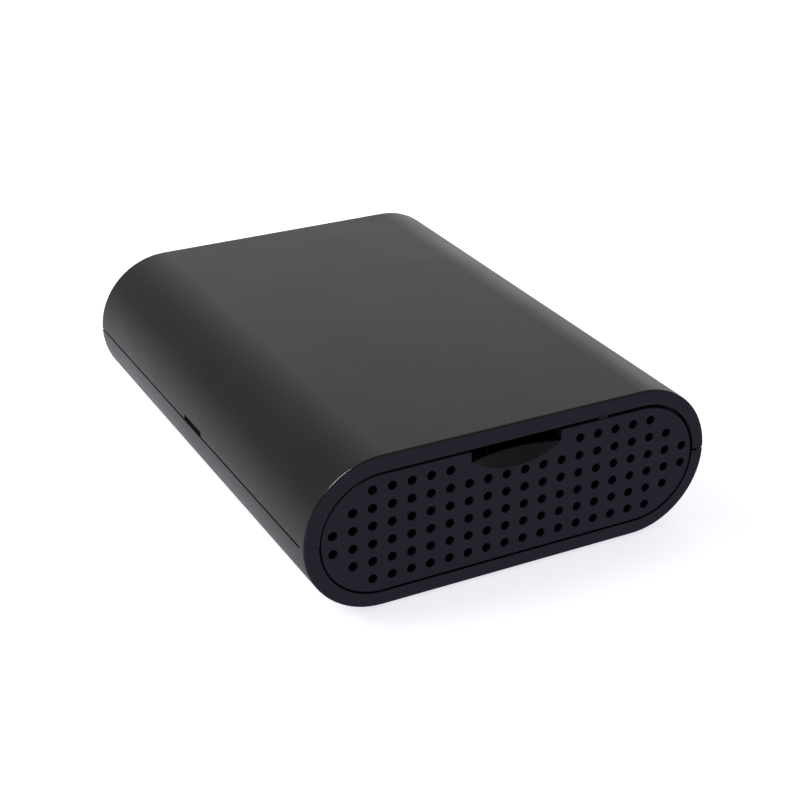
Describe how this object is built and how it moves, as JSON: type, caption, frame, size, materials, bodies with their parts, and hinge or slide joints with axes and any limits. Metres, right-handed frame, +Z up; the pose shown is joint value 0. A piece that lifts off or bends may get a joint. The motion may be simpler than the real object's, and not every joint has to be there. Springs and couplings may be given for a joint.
{
  "type": "logic analyzer",
  "caption": "Hand-size black logic analyzer: stadium-section snap-fit case with a perforated tilt-out front door, circuit board inside and USB and probe sockets at the rear.",
  "frame": {"origin": "on the table under the middle of the case", "axes": "+Z up; -Y is the vented front end, +Y the connector end; +X is to the right seen from the front"},
  "size_m": [0.082, 0.1034, 0.0301],
  "materials": {
    "case_plastic": "warm near-black ABS with a fine satin texture",
    "door_plastic": "near-black ABS with a fine satin texture",
    "panel_plastic": "near-black ABS, satin",
    "foot_rubber": "soft black rubber",
    "board_laminate": "green solder mask on glass laminate",
    "screw_steel": "zinc-plated steel",
    "chip_epoxy": "moulded black epoxy",
    "thermal_rubber": "soft grey-blue thermal pad",
    "heat_sink_aluminium": "black anodised aluminium",
    "resistor_ceramic": "glazed ceramic",
    "can_metal": "nickel-plated can",
    "inductor_ferrite": "grey ferrite",
    "tantalum_epoxy": "yellow-orange moulded resin",
    "capacitor_ceramic": "tan ceramic",
    "led_resin": "pale clear resin",
    "light_pipe_clear": "clear moulded acrylic",
    "connector_steel": "tin-plated folded steel",
    "connector_white": "off-white moulded nylon",
    "connector_black": "black moulded nylon",
    "contact_gold": "gold-plated copper alloy"
  },
  "bodies": {
    "case": {"lower_shell": "case_plastic", "rear_panel": "panel_plastic", "rubber_feet": "foot_rubber", "main_board": "board_laminate", "board_screws": "screw_steel", "fpga_chip": "chip_epoxy", "thermal_pad": "thermal_rubber", "heat_sink": "heat_sink_aluminium", "memory_chips": "chip_epoxy", "usb_controller": "chip_epoxy", "flash_chip": "chip_epoxy", "input_buffers": "chip_epoxy", "resistor_arrays": "resistor_ceramic", "protection_arrays": "chip_epoxy", "clock_oscillator": "can_metal", "voltage_regulators": "chip_epoxy", "power_inductors": "inductor_ferrite", "tantalum_capacitors": "tantalum_epoxy", "ceramic_capacitors": "capacitor_ceramic", "status_leds": "led_resin", "light_pipes": "light_pipe_clear", "usb_port_shell": "connector_steel", "usb_port_core": "connector_white", "usb_port_contacts": "contact_gold", "probe_header_housing": "connector_black", "probe_header_pins": "contact_gold", "service_header_base": "connector_black", "service_header_pins": "contact_gold"},
    "front_door": {"front_door": "door_plastic"},
    "upper_shell": {"upper_shell": "case_plastic"}
  },
  "joints": [
    {"name": "front_door_tilt", "type": "hinge", "parent": "case", "child": "front_door", "pos_m": [0, -0.0517, 0.00359], "axis": [1, 0, 0], "range_deg": [0, 30]},
    {"name": "upper_shell_lift", "type": "slide", "parent": "case", "child": "upper_shell", "axis": [0, 0, 1], "range_m": [0, 0.04]}
  ]
}
